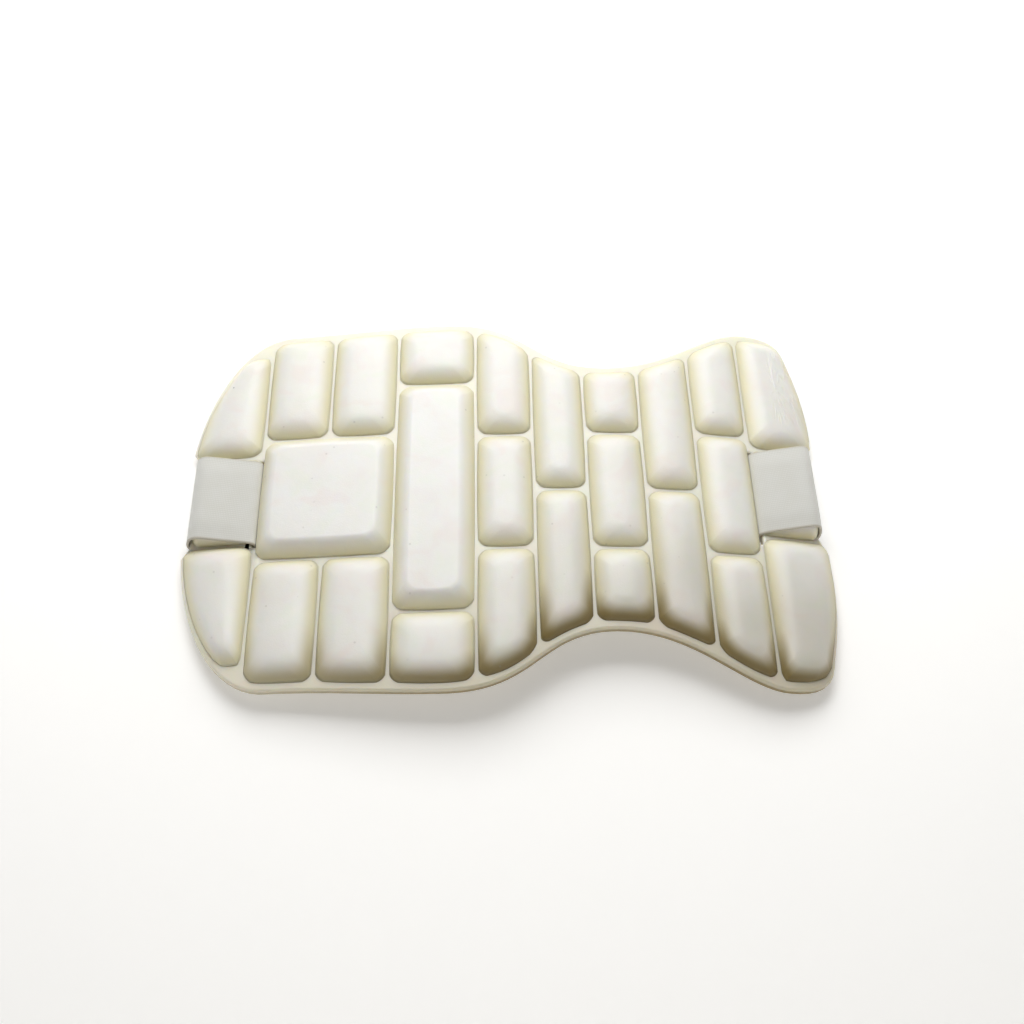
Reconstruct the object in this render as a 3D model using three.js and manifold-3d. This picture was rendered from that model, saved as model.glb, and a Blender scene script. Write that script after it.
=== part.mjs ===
// Cricket chest guard: a thin moulded foam sheet, raised foam pads in ten columns and a wide elastic strap.
// Millimetres, +Z up. The guard lies front side up with +X along it and +Y across it.
// The origin is on the table, under the middle of the whole guard.
import * as THREE from "three";
import { mergeVertices } from "three/addons/utils/BufferGeometryUtils.js";
import Module from "manifold-3d";

const wasm = await Module();
wasm.setup();

// Driving sizes

// A station is a place along the flat sheet, counted from the end with the square block.
const sheet = { length: 303.5, thickness: 4, crown: 190, rise: 14, rows: 60 };
const flange = { side: 4, end: 1.3 };
const elastic = { width: 45, thickness: 1.2, tail: 22, slotWidth: 2.2, skew: -2.5 };
// How the strap takes each end of the guard. At the edge of the sheet it lies askew from the axis and draws
// that edge in by a notch. From there it skews to a slot, whose ends are given as distances across.
const strapEnds = {
  first: { askew: 0.4, notch: 5.5, slotLow: -25.2, slotHigh: 22 },
  last: { askew: 4.6, notch: 4.5, slotLow: -25.6, slotHigh: 25.2 },
};
const notch = { width: elastic.width + 2, slant: 9 };
const gap = 0.3;
const groove = elastic.thickness + 2 * gap;
const grooveStations = [0, 36.5, 68, 100, 138, 165, 190, 217, 243, 269.5, sheet.length];

// A pad rises by a wall, which leans in by the draft, and a rounded shoulder to a crowned or flat top.
// The shoulder is a parabola at a fullness of 2 and rounder above that.
// A pressed pad lies under the strap, which draws its outer end in and leaves it higher there than at the
// slot.
const plain = { draft: 0, fullness: 2.2, crown: 0, lean: 0, drawnIn: 0 };
const soft = { ...plain, height: 5, wall: 0.4, shoulder: 9.5, corner: 6, crown: 0.6 };
const block = { ...plain, height: 6, wall: 4.2, draft: 4, shoulder: 7.4, fullness: 2, corner: 7 };
const pressed = { ...plain, wall: 0.8, shoulder: 5, corner: 5, lean: 0.85 };
const pressedFirst = { ...pressed, height: 4, drawnIn: 4.4 };
const pressedLast = { ...pressed, height: 5, drawnIn: 4 };

// One row for each pad, or for each pair of pads that mirror each other across the long axis.
// side is -1 for a single pad of the lower half.
// first and last are the columns that it covers, low and high its row grooves to one side of the axis.
// A pad with no high reaches out to the flange.
const padRows = [
  { name: "pad_1", pair: true, first: 1, last: 1, low: 24, high: 85, form: soft },
  { name: "pad_1_middle", pair: false, first: 1, last: 1, low: -24, high: 24, form: pressedFirst },
  { name: "pad_2", pair: true, first: 2, last: 2, low: 33, form: soft },
  { name: "pad_3", pair: true, first: 3, last: 3, low: 33, form: soft },
  { name: "badge_block", pair: false, first: 2, last: 3, low: -33, high: 33, form: block },
  { name: "pad_4", pair: true, first: 4, last: 4, low: 62, form: soft },
  { name: "centre_block", pair: false, first: 4, last: 4, low: -62, high: 62, form: block },
  { name: "pad_5", pair: true, first: 5, last: 5, low: 31, form: soft },
  { name: "pad_5_middle", pair: false, first: 5, last: 5, low: -31, high: 31, form: soft },
  { name: "pad_6", pair: true, first: 6, last: 6, low: 0, form: soft },
  { name: "pad_7", pair: true, first: 7, last: 7, low: 31.5, form: soft },
  { name: "pad_7_middle", pair: false, first: 7, last: 7, low: -31.5, high: 31.5, form: soft },
  { name: "pad_8", pair: true, first: 8, last: 8, low: 0, form: soft },
  { name: "pad_9", pair: true, first: 9, last: 9, low: 33, form: soft },
  { name: "pad_9_middle", pair: false, first: 9, last: 9, low: -33, high: 33, form: soft },
  { name: "pad_10_upper", pair: false, first: 10, last: 10, low: 27, high: 95, form: soft },
  { name: "pad_10_middle", pair: false, first: 10, last: 10, low: -22, high: 27, form: pressedLast },
  { name: "pad_10_lower", pair: false, side: -1, first: 10, last: 10, low: 22, high: 95, form: soft },
];

// Materials

const foam = { color: 0xefebdd, roughness: 0.42, metalness: 0 };
const elasticWeave = { color: 0xd7d7cf, roughness: 0.9, metalness: 0 };

function named(name, geometry, look) {
  const mesh = new THREE.Mesh(geometry, new THREE.MeshStandardMaterial(look));
  mesh.name = name;
  return mesh;
}

// Outline of half the sheet
// x is the station and y the half width: a round end, a shoulder, a waist, a flare and a rounded corner.
const outline = new THREE.Path();
outline.moveTo(1, 10);
outline.absellipse(46, 10, 45, 87.2, Math.PI, Math.PI / 2, true);
outline.bezierCurveTo(74, 97.2, 98, 100.2, 124, 100.2);
outline.bezierCurveTo(165, 100.2, 165, 72, 200, 72);
outline.bezierCurveTo(235, 72, 254, 98.7, 275, 98.7);
outline.bezierCurveTo(289, 98.7, 294.5, 94.5, 296.5, 86);
outline.bezierCurveTo(299, 75, sheet.length, 62, sheet.length, 40);

// The pads stop a flange's width inside the outline. The flange is narrow at the ends and wide at the sides.
const bedSteps = 400;
const bed = outline.getSpacedPoints(bedSteps).map((point, i) => {
  const tangent = outline.getTangentAt(i / bedSteps);
  const width = THREE.MathUtils.lerp(flange.end, flange.side, Math.abs(tangent.x));
  return new THREE.Vector2(point.x + tangent.y * width, point.y - tangent.x * width);
});
const bedLeft = bed.slice(0, bedSteps / 4);
const bedRight = bed.slice(-bedSteps / 6).reverse();

// Reads a line of points, sorted along one axis, at a value on that axis.
function read(points, along, across, value) {
  const next = points.findIndex((point) => point[along] >= value);
  if (next <= 0) return points.at(next)[across];
  const from = points[next - 1];
  const to = points[next];
  const share = (value - from[along]) / (to[along] - from[along]);
  return THREE.MathUtils.lerp(from[across], to[across], share);
}

// Arch of the sheet: two arcs that are level at the crown and drop by the same rise to both ends

function arcRadius(station) {
  const reach = station < sheet.crown ? sheet.crown : sheet.length - sheet.crown;
  return reach ** 2 / (2 * sheet.rise);
}

function endDrop(station) {
  const radius = arcRadius(station);
  return radius - (radius - sheet.thickness) * Math.cos((station - sheet.crown) / radius);
}

const endStations = [strapEnds.first.notch, sheet.length - strapEnds.last.notch];
const crownHeight = elastic.thickness + gap + Math.max(...endStations.map(endDrop));

// A point over the sheet's top face at a station, and the tilt of the sheet there.
function onArch(station, height) {
  const radius = arcRadius(station);
  const tilt = (station - sheet.crown) / radius;
  return {
    x: (radius + height) * Math.sin(tilt),
    z: crownHeight - radius + (radius + height) * Math.cos(tilt),
    tilt,
  };
}

// Solids for the boolean cuts

function solidOf(geometry) {
  const bare = geometry.clone().deleteAttribute("normal").deleteAttribute("uv");
  const merged = mergeVertices(bare, 1e-3);
  const vertProperties = merged.attributes.position.array;
  const triVerts = new Uint32Array(merged.index.array);
  return new wasm.Manifold(new wasm.Mesh({ numProp: 3, vertProperties, triVerts }));
}

function geometryOf(solid) {
  const mesh = solid.getMesh();
  const geometry = new THREE.BufferGeometry();
  geometry.setAttribute("position", new THREE.BufferAttribute(mesh.vertProperties, 3));
  geometry.setIndex(new THREE.BufferAttribute(mesh.triVerts, 1));
  geometry.computeVertexNormals();
  return geometry;
}

// Foam sheet: a flat slab cut to the outline and bent over the arch
// Near each end it has a slot for the strap, and a shallow notch where the strap goes round its edge.

function sheetSlab() {
  const slab = new THREE.BoxGeometry(1, 1, 1, sheet.rows, 4, 1);
  const rim = outline.getSpacedPoints(sheet.rows);
  const at = slab.attributes.position;
  for (let i = 0; i < at.count; i++) {
    const edge = rim[Math.round((at.getX(i) + 0.5) * sheet.rows)];
    const spot = onArch(edge.x, at.getZ(i) > 0 ? 0 : -sheet.thickness);
    at.setXYZ(i, spot.x, at.getY(i) * 2 * edge.y, spot.z);
  }
  return slab;
}

const cutterDepth = 4 * sheet.thickness;

function cutterAt(cutter, station, across) {
  const spot = onArch(station, -sheet.thickness / 2);
  return cutter.rotateY(spot.tilt).translate(spot.x, across, spot.z);
}

function slotCutter(station, end) {
  const cutter = new THREE.BoxGeometry(elastic.slotWidth, end.slotHigh - end.slotLow, cutterDepth);
  return cutterAt(cutter, station, (end.slotLow + end.slotHigh) / 2);
}

// A notch narrows from the edge of the sheet inwards. inward is 1 at the first end and -1 at the last.
function notchCutter(station, end, inward) {
  const floor = notch.width / 2;
  const mouth = floor + notch.slant;
  const half = [
    new THREE.Vector2(-inward * end.notch, mouth),
    new THREE.Vector2(0, mouth),
    new THREE.Vector2(inward * end.notch, floor),
  ];
  const mirrored = half.map((point) => new THREE.Vector2(point.x, -point.y)).reverse();
  const shape = new THREE.Shape([...half, ...mirrored]);
  const cutter = new THREE.ExtrudeGeometry(shape, { depth: cutterDepth, bevelEnabled: false });
  return cutterAt(cutter.translate(0, 0, -cutterDepth / 2), station, end.askew);
}

const cutters = [
  slotCutter(grooveStations.at(1), strapEnds.first),
  slotCutter(grooveStations.at(-2), strapEnds.last),
  notchCutter(0, strapEnds.first, 1),
  notchCutter(sheet.length, strapEnds.last, -1),
];
const slottedSheet = cutters.reduce(
  (solid, cutter) => solid.subtract(solidOf(cutter)),
  solidOf(sheetSlab()),
);

// Pads: one turned dome, squared up into the cell between its grooves

const latheReach = 100;
const padSides = 24;
const shoulderSteps = 4;

// The side of a pad from its foot to its top, as distances in from its edge and heights.
function sideOf(form) {
  const side = [{ inset: 0, height: 0 }];
  for (let i = 0; i <= shoulderSteps; i++) {
    const share = i / shoulderSteps;
    const inset = THREE.MathUtils.lerp(form.draft, form.shoulder, share);
    const climbed = 1 - (1 - share) ** form.fullness;
    side.push({ inset, height: THREE.MathUtils.lerp(form.wall, form.height, climbed) });
  }
  return side;
}

function dome(form) {
  const side = sideOf(form).map(({ inset, height }) => new THREE.Vector2(latheReach - inset, height));
  const profile = [new THREE.Vector2(0, 0), ...side, new THREE.Vector2(0, form.height + form.crown)];
  return new THREE.LatheGeometry(profile, padSides).rotateX(Math.PI / 2);
}

// How much higher a pad is at a share of its half length, counted towards the outer end of the guard.
function leanAt(form, outward) {
  return 1 + form.lean * outward;
}

// A point of a rounded rectangle at an angle seen from its middle.
function squared(angle, halfLength, halfWidth, corner) {
  const radius = Math.min(corner, halfLength, halfWidth);
  const c = Math.cos(angle);
  const s = Math.sin(angle);
  return {
    along: (halfLength - radius) * THREE.MathUtils.clamp(3 * c, -1, 1) + radius * c,
    across: (halfWidth - radius) * THREE.MathUtils.clamp(3 * s, -1, 1) + radius * s,
  };
}

// The bed's round ends at a distance from the axis, drawn in under the strap.
function endsOf(form, across) {
  return {
    first: read(bedLeft, "y", "x", Math.abs(across)) + form.drawnIn,
    last: read(bedRight, "y", "x", Math.abs(across)) - form.drawnIn,
  };
}

// The four edges of a cell between the grooves, and its middle.
// At the ends of the guard it follows the bed's round ends. With no outer groove, it follows the bed's side.
function cellOf(row) {
  const start = grooveStations[row.first - 1] + groove / 2;
  const stop = grooveStations[row.last] - groove / 2;
  const cell = {
    low: row.low + groove / 2,
    left: (across) => (row.first === 1 ? endsOf(row.form, across).first : start),
    right: (across) => (row.last === 10 ? endsOf(row.form, across).last : stop),
    high: (station) => (row.high === undefined ? read(bed, "x", "y", station) : row.high - groove / 2),
  };
  const across = (cell.low + cell.high((start + stop) / 2)) / 2;
  cell.centre = { station: (cell.left(across) + cell.right(across)) / 2, across };
  cell.halfWidth = across - cell.low;
  cell.halfLength = (cell.right(across) - cell.left(across)) / 2;
  return cell;
}

function padMesh(row, name, side) {
  const cell = cellOf(row);
  const geometry = dome(row.form);
  const at = geometry.attributes.position;
  for (let i = 0; i < at.count; i++) {
    const reach = Math.hypot(at.getX(i), at.getY(i));
    const angle = Math.atan2(at.getY(i), at.getX(i));
    const inset = reach < 1 ? cell.halfWidth + cell.halfLength : latheReach - reach;
    const halfLength = Math.max(cell.halfLength - inset, 0);
    const halfWidth = Math.max(cell.halfWidth - inset, 0);
    const spot = squared(angle, halfLength, halfWidth, row.form.corner);
    const alongShare = (spot.along / cell.halfLength + 1) / 2;
    const acrossShare = ((side * spot.across) / cell.halfWidth + 1) / 2;
    const level = THREE.MathUtils.lerp(cell.low, cell.high(cell.centre.station), acrossShare);
    const station = THREE.MathUtils.lerp(cell.left(level), cell.right(level), alongShare);
    const across = THREE.MathUtils.lerp(cell.low, cell.high(station), acrossShare);
    const outward = ((row.first === 1 ? -1 : 1) * spot.along) / cell.halfLength;
    at.setX(i, station - cell.centre.station);
    at.setY(i, side * (across - cell.centre.across));
    at.setZ(i, at.getZ(i) * leanAt(row.form, outward));
  }
  geometry.computeVertexNormals();
  const pad = named(name, geometry, foam);
  const seat = onArch(cell.centre.station, gap);
  pad.position.set(seat.x, side * cell.centre.across, seat.z);
  pad.rotation.y = seat.tilt;
  return pad;
}

const pads = padRows.flatMap((row) =>
  row.pair
    ? [padMesh(row, `${row.name}_upper`, 1), padMesh(row, `${row.name}_lower`, -1)]
    : [padMesh(row, row.name, row.side ?? 1)],
);

// Elastic strap: one band that lies along the table and wraps each end of the sheet and its middle pad
// It then goes down through the slot, and its tail is sewn to the band underneath.

const halfBand = elastic.thickness / 2;
const tailHeight = elastic.thickness + gap + halfBand;

// The heading of a band that lies along two round pegs on its right.
function headingOf(from, to) {
  const span = Math.hypot(to.x - from.x, to.z - from.z);
  return Math.atan2(to.z - from.z, to.x - from.x) - Math.asin((from.radius - to.radius) / span);
}

// Pulls a band tight round pegs on its right, from a first heading to a last one.
// It passes over the pegs that it doesn't touch.
function tautBand(pegs, firstHeading, lastHeading) {
  const touched = [];
  const clears = (peg) => headingOf(touched.at(-1), peg) > headingOf(touched.at(-2), touched.at(-1));
  for (const peg of pegs) {
    while (touched.length > 1 && clears(peg)) touched.pop();
    touched.push(peg);
  }
  const points = touched.flatMap((peg, i) => {
    const from = i === 0 ? firstHeading : headingOf(touched[i - 1], peg);
    const to = i === touched.length - 1 ? lastHeading : headingOf(peg, touched[i + 1]);
    const steps = Math.max(1, Math.round(Math.abs(from - to) / (Math.PI / 12)));
    return Array.from({ length: steps + 1 }, (_, k) => {
      const heading = THREE.MathUtils.lerp(from, to, k / steps);
      const x = peg.x - peg.radius * Math.sin(heading);
      const z = peg.z + peg.radius * Math.cos(heading);
      return new THREE.Vector2(x, z);
    });
  });
  return points.filter((point, i) => i === 0 || point.distanceTo(points[i - 1]) > 0.05);
}

// The band at one end, from the table up over the pad and down to the end of its tail.
// hand is 1 at the first end and -1 at the last, which is worked out as its mirror image.
function endLoop(row, hand) {
  const cell = cellOf(row);
  const seat = onArch(cell.centre.station, gap);
  const padPeg = (outward, side) => {
    const reach = outward * (cell.halfLength - side.inset);
    const along = -hand * reach;
    const height = side.height * leanAt(row.form, reach / cell.halfLength);
    const x = seat.x + along * Math.cos(seat.tilt) + height * Math.sin(seat.tilt);
    const z = seat.z - along * Math.sin(seat.tilt) + height * Math.cos(seat.tilt);
    return { x: hand * x, z, radius: gap + halfBand };
  };
  const end = hand > 0 ? endStations[0] : endStations[1];
  const foot = onArch(end, -sheet.thickness);
  const brow = onArch(end, 0);
  const pegs = [
    { x: hand * foot.x, z: foot.z, radius: foot.z - halfBand },
    { x: hand * brow.x, z: brow.z, radius: gap + halfBand },
    ...sideOf(row.form).map((side) => padPeg(1, side)),
    ...sideOf(row.form).reverse().map((side) => padPeg(-1, side)),
  ];
  const down = -Math.PI / 2 - hand * seat.tilt;
  const band = tautBand(pegs, Math.PI, down);
  const last = band.at(-1);
  const drop = sheet.thickness + 3 * gap;
  const exit = new THREE.Vector2(last.x + Math.cos(down) * drop, last.y + Math.sin(down) * drop);
  const turnEnd = new THREE.Vector2(exit.x + 6, tailHeight);
  const turn = new THREE.QuadraticBezierCurve(exit, new THREE.Vector2(exit.x + 1, tailHeight), turnEnd);
  const tailEnd = new THREE.Vector2(turnEnd.x + elastic.tail, tailHeight);
  return [...band, ...turn.getPoints(6), tailEnd].map((point) => new THREE.Vector2(hand * point.x, point.y));
}

// A band's outline from its middle line: out along one face and back along the other.
function ribbon(route) {
  const faces = [1, -1].map((face) =>
    route.map((point, i) => {
      const into = point.clone().sub(route[Math.max(i - 1, 0)]).normalize();
      const out = route[Math.min(i + 1, route.length - 1)].clone().sub(point).normalize();
      const heading = into.clone().add(out).normalize();
      const cosine = Math.max(heading.dot(into), heading.dot(out));
      const offset = (face * halfBand) / cosine;
      return new THREE.Vector2(point.x - heading.y * offset, point.y + heading.x * offset);
    }),
  );
  return new THREE.Shape([...faces[0], ...faces[1].reverse()]);
}

const rowNamed = (name) => padRows.find((row) => row.name === name);
const route = [
  ...endLoop(rowNamed("pad_1_middle"), 1).reverse(),
  ...endLoop(rowNamed("pad_10_middle"), -1),
];
const band = new THREE.ExtrudeGeometry(ribbon(route), { depth: elastic.width, bevelEnabled: false });
band.rotateX(Math.PI / 2).translate(0, elastic.width / 2, 0);

// The run on the table goes straight from end to end. The rest skews on its way from the edge to the slot.
function strapShift(x, z) {
  const share = THREE.MathUtils.inverseLerp(onArch(0, 0).x, onArch(sheet.length, 0).x, x);
  const askew = THREE.MathUtils.lerp(strapEnds.first.askew, strapEnds.last.askew, share);
  if (z < elastic.thickness + gap / 2) return askew;
  const edge = onArch(x < 0 ? endStations[0] : endStations[1], 0).x;
  const slot = onArch(grooveStations.at(x < 0 ? 1 : -2), 0).x;
  const run = THREE.MathUtils.clamp(THREE.MathUtils.inverseLerp(edge, slot, x), 0, 1);
  return askew + elastic.skew * run;
}

const strapAt = band.attributes.position;
for (let i = 0; i < strapAt.count; i++) {
  strapAt.setY(i, strapAt.getY(i) + strapShift(strapAt.getX(i), strapAt.getZ(i)));
}

// Assembly: the guard is moved along so that the origin is under the middle of its whole length

const guard = new THREE.Group();
guard.add(named("foam_sheet", geometryOf(slottedSheet), foam));
guard.add(...pads);
guard.add(named("elastic_strap", band, elasticWeave));
const whole = new THREE.Box3().setFromObject(guard, true);
guard.children.forEach((piece) => {
  piece.position.x -= (whole.min.x + whole.max.x) / 2;
});

export default guard;
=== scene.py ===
# %% [markdown]
# # A cricket chest guard in moulded foam
# The guard is a thin foam sheet with raised foam pads in ten columns, bent into a gentle arch, with a wide
# elastic strap looped through a slot at each end. This lesson dresses its plain solids: every piece is modelled
# flat, where it is easy to think about, and then bent over the same arch.

# %% Load the solids that the guard is dressed around
import math
from collections import namedtuple

import bmesh
import bpy
import numpy as np
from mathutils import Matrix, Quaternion, Vector, noise
from mathutils.geometry import interpolate_bezier


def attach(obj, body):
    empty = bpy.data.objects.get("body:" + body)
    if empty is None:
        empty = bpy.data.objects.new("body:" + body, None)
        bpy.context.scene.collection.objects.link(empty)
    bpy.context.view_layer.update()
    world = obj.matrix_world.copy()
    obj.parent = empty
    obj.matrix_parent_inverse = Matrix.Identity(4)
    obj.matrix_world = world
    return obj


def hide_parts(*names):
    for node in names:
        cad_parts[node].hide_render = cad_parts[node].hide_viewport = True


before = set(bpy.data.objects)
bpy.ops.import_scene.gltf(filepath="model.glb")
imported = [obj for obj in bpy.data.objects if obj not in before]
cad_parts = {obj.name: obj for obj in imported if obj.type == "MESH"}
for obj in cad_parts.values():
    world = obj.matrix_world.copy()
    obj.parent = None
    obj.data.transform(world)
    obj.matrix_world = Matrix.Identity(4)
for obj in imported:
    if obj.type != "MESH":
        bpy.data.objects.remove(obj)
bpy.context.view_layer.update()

# %% [markdown]
# ## The arch
# On the table the guard stands on its two ends and rises between them. Two arcs that are level at the crown
# describe that well. A station is a place along the flat sheet, counted from the end with the square block, and
# one short function takes any station, distance across and height over the sheet to its place on the guard.
# Everything is worked out in millimetres and scaled to metres at the end.

# %% Sizes of the sheet and the way over the arch
MM = 0.001
LENGTH, THICKNESS = 303.5, 4.0
CROWN_STATION, RISE = 190.0, 14.0
CROWN_X, CROWN_HEIGHT = 37.451, 18.638


def arc_radius(station):
    reach = CROWN_STATION if station < CROWN_STATION else LENGTH - CROWN_STATION
    return reach**2 / (2 * RISE)


def tilt_at(station):
    return (station - CROWN_STATION) / arc_radius(station)


def on_arch(station, across, height):
    radius, tilt = arc_radius(station), tilt_at(station)
    x = CROWN_X + (radius + height) * math.sin(tilt)
    z = CROWN_HEIGHT - radius + (radius + height) * math.cos(tilt)
    return Vector((x, across, z))


print("ends of the sheet in mm:", on_arch(0, 0, 0).to_tuple(1), on_arch(LENGTH, 0, 0).to_tuple(1))

# %% [markdown]
# ## The outline
# Seen from above, the sheet has a round end, a shoulder, a waist, a flare and a rounded corner, and the other
# half mirrors it. A quarter ellipse and five Bezier curves follow it, and Blender's own interpolate_bezier reads
# them. The pads stop a flange's width inside that line, on what is called the bed here. The flange is narrow at
# the ends and wide at the sides.

# %% Half outline and bed
OutlineCurve = namedtuple("OutlineCurve", "first_handle second_handle end")
OUTLINE_START, END_CENTRE, END_RADII = (1, 10), (46, 10), (45, 87.2)
FLANGE_END, FLANGE_SIDE = 1.3, 4.0
RIM_PLACES, FIRST_END_PLACES, LAST_END_PLACES = 400, 100, 66
OUTLINE_CURVES = [
    OutlineCurve((74, 97.2), (98, 100.2), (124, 100.2)),
    OutlineCurve((165, 100.2), (165, 72), (200, 72)),
    OutlineCurve((235, 72), (254, 98.7), (275, 98.7)),
    OutlineCurve((289, 98.7), (294.5, 94.5), (296.5, 86)),
    OutlineCurve((299, 75), (LENGTH, 62), (LENGTH, 40)),
]


def half_outline(steps=60):
    points = [Vector(OUTLINE_START)]
    for i in range(1, steps + 1):
        turn = math.pi / 2 * i / steps
        stretch = Vector((-math.cos(turn) * END_RADII[0], math.sin(turn) * END_RADII[1]))
        points.append(Vector(END_CENTRE) + stretch)
    for curve in OUTLINE_CURVES:
        knots = [points[-1].to_3d(), *[Vector(point).to_3d() for point in curve]]
        points += [point.to_2d() for point in interpolate_bezier(*knots, steps)[1:]]
    return points


def evenly(points, count):
    run = np.cumsum([0] + [(b - a).length for a, b in zip(points, points[1:])])
    places = np.linspace(0, run[-1], count)
    return np.column_stack([np.interp(places, run, [point[axis] for point in points]) for axis in range(2)])


rim = evenly(half_outline(), RIM_PLACES)
heading = np.gradient(rim, axis=0)
heading /= np.linalg.norm(heading, axis=1)[:, None]
flange = FLANGE_END + (FLANGE_SIDE - FLANGE_END) * abs(heading[:, :1])
bed = rim + flange * np.column_stack([heading[:, 1], -heading[:, 0]])
first_end, last_end = bed[:FIRST_END_PLACES], bed[-LAST_END_PLACES:][::-1]
print("outline:", len(rim), "places, widest half width", round(rim[:, 1].max(), 1), "mm")

# %% [markdown]
# ## From a model to a piece of the guard
# A bmesh is a mesh in the making. When its shape is right, it is scaled to metres, its faces are turned outwards
# and shaded smooth, and it becomes an object with its material, which rides with the guard and stands for its
# plain solid.

# %% Finish a piece
BODY = "root"


def finish_piece(bm, name, material, slot, node):
    bmesh.ops.scale(bm, vec=(MM, MM, MM), verts=bm.verts)
    bmesh.ops.recalc_face_normals(bm, faces=bm.faces)
    for face in bm.faces:
        face.smooth = True
    mesh = bpy.data.meshes.new(name)
    bm.to_mesh(mesh)
    bm.free()
    mesh.materials.append(material)
    piece = bpy.data.objects.new(name, mesh)
    bpy.context.scene.collection.objects.link(piece)
    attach(piece, BODY)
    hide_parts(node)
    return piece


def layer_of(bm, name, kind="float"):
    layers = getattr(bm.verts.layers, kind)
    return layers.get(name) or layers.new(name)


print("pieces ride on", BODY)

# %% [markdown]
# ## Foam skin
# The pads are closed-cell foam pressed in a hot mould, which leaves a satin skin with a fine grain. Its cream
# colour drifts a little towards pink and green as on a pearl, and picks up a few grey specks in use. Painted shade
# is mixed in as well: the colour turns warmer and darker down the walls towards the foot, and a dark yellow-brown
# where the rim share says is partly painted shade and partly yellowing of the foam. A painted picture could hold
# all that, but noise on the Object coordinates needs no picture and has no seams, and attributes of the mesh tell
# where the wall shade, the rim colour and wear are. All three foam finishes share it, so it is a node group.

# %% Node helpers and the foam skin group
def new_group(name, inputs, outputs):
    group = bpy.data.node_groups.new(name, "ShaderNodeTree")
    for socket, kind in inputs:
        group.interface.new_socket(socket, in_out="INPUT", socket_type=kind)
    for socket, kind in outputs:
        group.interface.new_socket(socket, in_out="OUTPUT", socket_type=kind)
    return group, group.nodes.new("NodeGroupInput"), group.nodes.new("NodeGroupOutput")


def put(tree, kind, settings=None, **sockets):
    """Adds a node, sets its options and fills or links its inputs, named with _ for a space."""
    node = tree.nodes.new(kind)
    for option, value in (settings or {}).items():
        setattr(node, option, value)
    for socket, value in sockets.items():
        target = node.inputs[int(socket[1:])] if socket[1:].isdigit() else node.inputs[socket.replace("_", " ")]
        if isinstance(value, bpy.types.NodeSocket):
            tree.links.new(value, target)
        else:
            target.default_value = value
    return node


def blend(tree, share, under, over, kind="MIX"):
    node = put(tree, "ShaderNodeMix", {"data_type": "RGBA", "blend_type": kind, "clamp_factor": True})
    for index, value in ((0, share), (6, under), (7, over)):
        if isinstance(value, bpy.types.NodeSocket):
            tree.links.new(value, node.inputs[index])
        else:
            node.inputs[index].default_value = value
    return node.outputs[2]


def remap(tree, value, low, high, to_low=0.0, to_high=1.0):
    node = put(tree, "ShaderNodeMapRange", {"interpolation_type": "SMOOTHSTEP"}, Value=value)
    for socket, number in zip(("From Min", "From Max", "To Min", "To Max"), (low, high, to_low, to_high)):
        node.inputs[socket].default_value = number
    return node.outputs["Result"]


COLOUR, NUMBER = "NodeSocketColor", "NodeSocketFloat"
foam_skin, skin_in, skin_out = new_group(
    "foam skin",
    [("Skin", COLOUR), ("Wall", COLOUR), ("Wall share", NUMBER), ("Rim", COLOUR), ("Rim share", NUMBER),
     ("Wear", NUMBER)],
    [("Color", COLOUR), ("Roughness", NUMBER), ("Height", NUMBER)],
)
place = put(foam_skin, "ShaderNodeTexCoord").outputs["Object"]
cloud = put(foam_skin, "ShaderNodeTexNoise", Vector=place, Scale=42.0, Detail=3.0).outputs["Fac"]
drift = put(foam_skin, "ShaderNodeTexNoise", Vector=place, Scale=65.0, Detail=2.0, Distortion=0.6).outputs["Fac"]
grain = put(foam_skin, "ShaderNodeTexNoise", Vector=place, Scale=1900.0, Detail=3.0).outputs["Fac"]
dimple = put(foam_skin, "ShaderNodeTexNoise", Vector=place, Scale=420.0, Detail=1.0).outputs["Fac"]
spot = put(foam_skin, "ShaderNodeTexVoronoi", Vector=place, Scale=130.0).outputs["Distance"]
pink = blend(foam_skin, remap(foam_skin, drift, 0.5, 0.7, 0.0, 0.6), skin_in.outputs["Skin"],
             (1.0, 0.94, 0.945, 1), "MULTIPLY")
pearl = blend(foam_skin, remap(foam_skin, drift, 0.5, 0.3, 0.0, 0.6), pink, (0.96, 1.0, 0.95, 1), "MULTIPLY")
clouded = blend(foam_skin, remap(foam_skin, cloud, 0.35, 0.7, 0.0, 0.6), pearl, (0.965, 0.955, 0.93, 1), "MULTIPLY")
# Painted shade: the Wall colour, warmer and darker, is mixed in down the walls towards the foot.
foot_shaded = blend(foam_skin, skin_in.outputs["Wall share"], clouded, skin_in.outputs["Wall"])
rare = put(foam_skin, "ShaderNodeMath", {"operation": "MULTIPLY"}, _0=remap(foam_skin, spot, 0.085, 0.05),
           _1=remap(foam_skin, cloud, 0.42, 0.55)).outputs[0]
specks = put(foam_skin, "ShaderNodeMath", {"operation": "MULTIPLY"}, _0=rare, _1=skin_in.outputs["Wear"]).outputs[0]
# Painted shade, partly also yellowing of the foam: the dark yellow-brown Rim colour where the rim share says.
rim_shaded = blend(foam_skin, skin_in.outputs["Rim share"], foot_shaded, skin_in.outputs["Rim"])
skin_colour = blend(foam_skin, specks, rim_shaded, (0.34, 0.33, 0.32, 1))
fine = put(foam_skin, "ShaderNodeMath", {"operation": "MULTIPLY_ADD"}, _0=dimple, _1=0.6, _2=grain).outputs[0]
foam_skin.links.new(skin_colour, skin_out.inputs["Color"])
foam_skin.links.new(remap(foam_skin, drift, 0.3, 0.7, 0.36, 0.46), skin_out.inputs["Roughness"])
foam_skin.links.new(fine, skin_out.inputs["Height"])
print("foam skin:", len(foam_skin.nodes), "nodes")

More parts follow.
